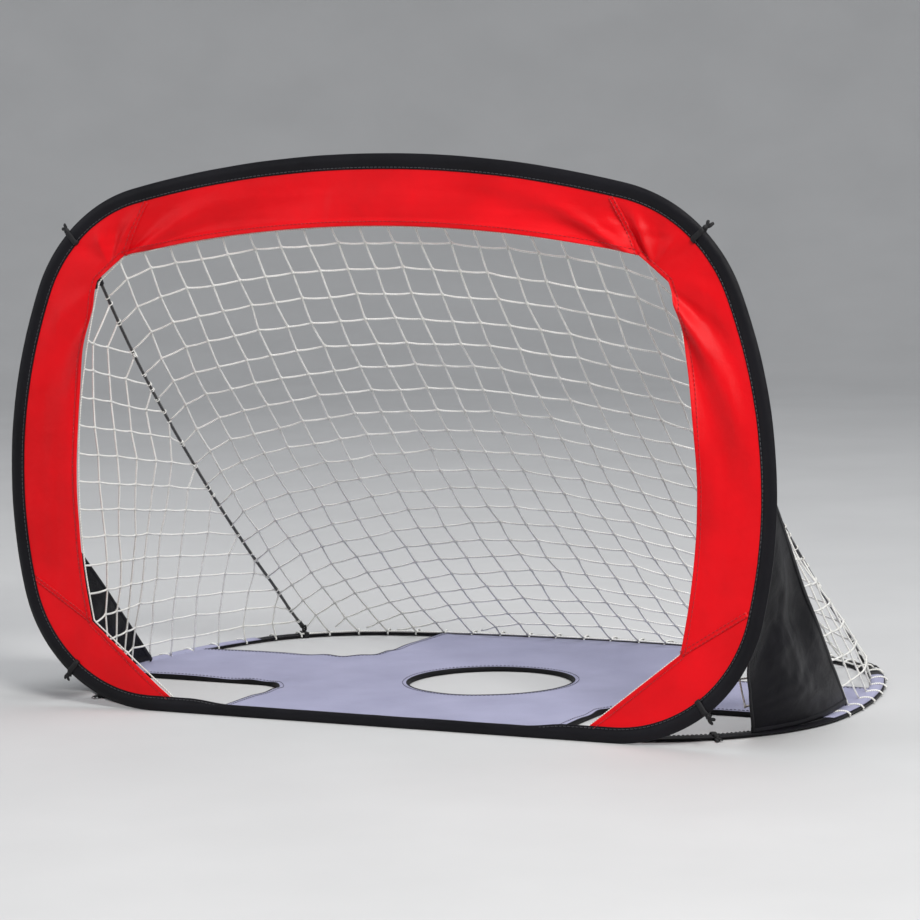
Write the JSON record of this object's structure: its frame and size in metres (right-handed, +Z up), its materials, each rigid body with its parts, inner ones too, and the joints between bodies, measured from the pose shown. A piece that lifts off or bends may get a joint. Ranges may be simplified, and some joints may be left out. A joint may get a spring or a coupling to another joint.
{
  "type": "pop-up goal",
  "caption": "Folding pop-up ball goal: a sprung hoop with a red border stands on a flat hoop with a target sheet, joined by side webs, elastic cords and a net.",
  "frame": {"origin": "on the ground, under the middle of the whole object's box", "axes": "+X to the right seen from in front of the mouth, +Y back from the mouth through the net, +Z up"},
  "size_m": [1.2, 0.8085, 0.7998],
  "materials": {
    "spring_steel": "oiled spring steel",
    "ferrule_steel": "zinc plated",
    "black_sleeve": "woven polyester",
    "red_fabric": "satin woven polyester",
    "black_web": "satin woven polyester",
    "white_net": "knotted twine",
    "elastic_cord": "braided cover over rubber",
    "black_plastic": "moulded",
    "black_webbing": "narrow webbing",
    "sheet_binding": "bias binding",
    "grey_sheet": "coated woven polyester"
  },
  "bodies": {
    "ground": {"ground_hoop_rod": "spring_steel", "ground_hoop_ferrule": "ferrule_steel", "ground_sleeve": "black_sleeve", "side_web_left": "black_web", "net_left": "white_net", "cord_left": "elastic_cord", "cord_hook_left": "black_plastic", "tie_ground_front_left": "black_webbing", "tie_ground_rear_left": "black_webbing", "binding_front_left": "sheet_binding", "binding_rear_left": "sheet_binding", "side_web_right": "black_web", "net_right": "white_net", "cord_right": "elastic_cord", "cord_hook_right": "black_plastic", "tie_ground_front_right": "black_webbing", "tie_ground_rear_right": "black_webbing", "binding_front_right": "sheet_binding", "binding_rear_right": "sheet_binding", "net_back": "white_net", "target_sheet": "grey_sheet", "target_binding": "sheet_binding"},
    "goal": {"goal_hoop_rod": "spring_steel", "goal_hoop_ferrule": "ferrule_steel", "goal_sleeve": "black_sleeve", "border_top": "red_fabric", "border_left": "red_fabric", "border_corner_left": "red_fabric", "corner_loop_left": "black_webbing", "tie_goal_upper_left": "black_webbing", "tie_goal_lower_left": "black_webbing", "border_right": "red_fabric", "border_corner_right": "red_fabric", "corner_loop_right": "black_webbing", "tie_goal_upper_right": "black_webbing", "tie_goal_lower_right": "black_webbing"}
  },
  "joints": [
    {"name": "goal_fold", "type": "hinge", "parent": "ground", "child": "goal", "pos_m": [0, -0.396, 0.0085], "axis": [1, 0, 0], "range_deg": [-83, 0], "deforming": ["net_back", "net_left", "net_right", "side_web_left", "side_web_right", "cord_left", "cord_right"]}
  ]
}
